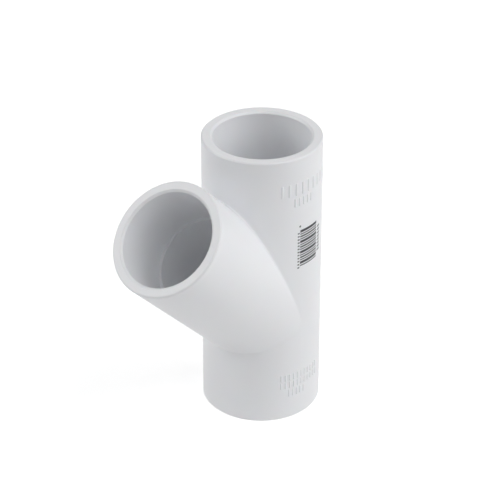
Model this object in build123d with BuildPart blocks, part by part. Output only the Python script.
from build123d import *
from math import cos, radians, sin, tan
import os

# A 45 degree lateral wye for 3/4 inch solvent-weld pressure pipe, moulded in one piece.
# The run stands on its lower end, along +Z with that end face at z = 0.
# The branch leaves it up and to -X, with both axes in the XZ plane.

# Driving dimensions, in millimetres and degrees
pipe_diameter = 26.67  # outside of the pipe that each of the three sockets takes
pipe_gap = 0.10  # all round a pipe in its socket
socket_depth = 19.4  # from a mouth down to the stop that the pipe's end meets
socket_wall = 3.07
stop_ledge = 0.75  # how far a stop stands in from its socket
branch_angle = 45.0  # between the branch and the upper part of the run
crotch_web = 1.58  # thinnest wall between the bottoms of the upper and branch sockets
heel_land = 3.45  # from the lower stop up to where the branch waterway breaks in
branch_relief = 0.15  # the branch is this much slimmer than the run, inside and out
rim_chamfer = 0.35  # outer edge of each mouth
lip_chamfer = 0.60  # inner edge of each mouth, which leads the pipe in
crease_rounding = 0.50  # where the two outsides meet

# Radii
socket_radius = pipe_diameter / 2 + pipe_gap
run_radius = socket_radius + socket_wall
run_waterway = socket_radius - stop_ledge
branch_radius = run_radius - branch_relief
branch_waterway = run_waterway - branch_relief

# Lengths along the two axes, from the point where they cross
half_angle = radians(branch_angle / 2)
centre_to_stop = (socket_radius * cos(half_angle) + crotch_web / 2) / sin(half_angle)
centre_to_mouth = centre_to_stop + socket_depth
crossing_height = socket_depth + heel_land + run_waterway * tan(half_angle)
run_length = crossing_height + centre_to_mouth

lean = radians(branch_angle)
branch_axis = Axis(origin=(0, 0, crossing_height), direction=(-sin(lean), 0, cos(lean)))
branch_root = Plane(origin=branch_axis.position, x_dir=(0, 1, 0), z_dir=branch_axis.direction)
branch_mouth = branch_root.offset(centre_to_mouth)
upper_mouth = Plane.XY.offset(run_length)
lower_mouth = Plane(origin=(0, 0, 0), x_dir=(1, 0, 0), z_dir=(0, 0, -1))

with BuildPart() as wye_body:
    # Outside: two barrels that grow into each other, with a soft crease between them
    with BuildSketch(Plane.XY):
        Circle(run_radius)
    extrude(amount=run_length)
    with BuildSketch(branch_root):
        Circle(branch_radius)
    extrude(amount=centre_to_mouth)
    rims = wye_body.edges().filter_by(GeomType.CIRCLE)
    crease = wye_body.edges().filter_by(GeomType.BSPLINE)
    fillet(crease, crease_rounding)
    chamfer(rims, rim_chamfer)

    # Inside: a socket, a stop and a waterway from each mouth
    with Locations(upper_mouth.location, lower_mouth.location):
        CounterBoreHole(run_waterway, socket_radius, socket_depth, depth=run_length)
    with Locations(branch_mouth.location):
        CounterBoreHole(branch_waterway, socket_radius, socket_depth, depth=centre_to_mouth)

    # A chamfer inside each mouth leads the pipe in
    flats = wye_body.faces().filter_by(GeomType.PLANE)
    ends = [flats.sort_by(Axis.Z)[0], flats.sort_by(Axis.Z)[-1], flats.sort_by(branch_axis)[-1]]
    lips = [end.inner_wires()[0].edge() for end in ends]
    chamfer(lips, lip_chamfer)

wye_body.part.label = "wye_body"

os.makedirs("parts", exist_ok=True)
export_step(wye_body.part, "parts/wye_body.step")
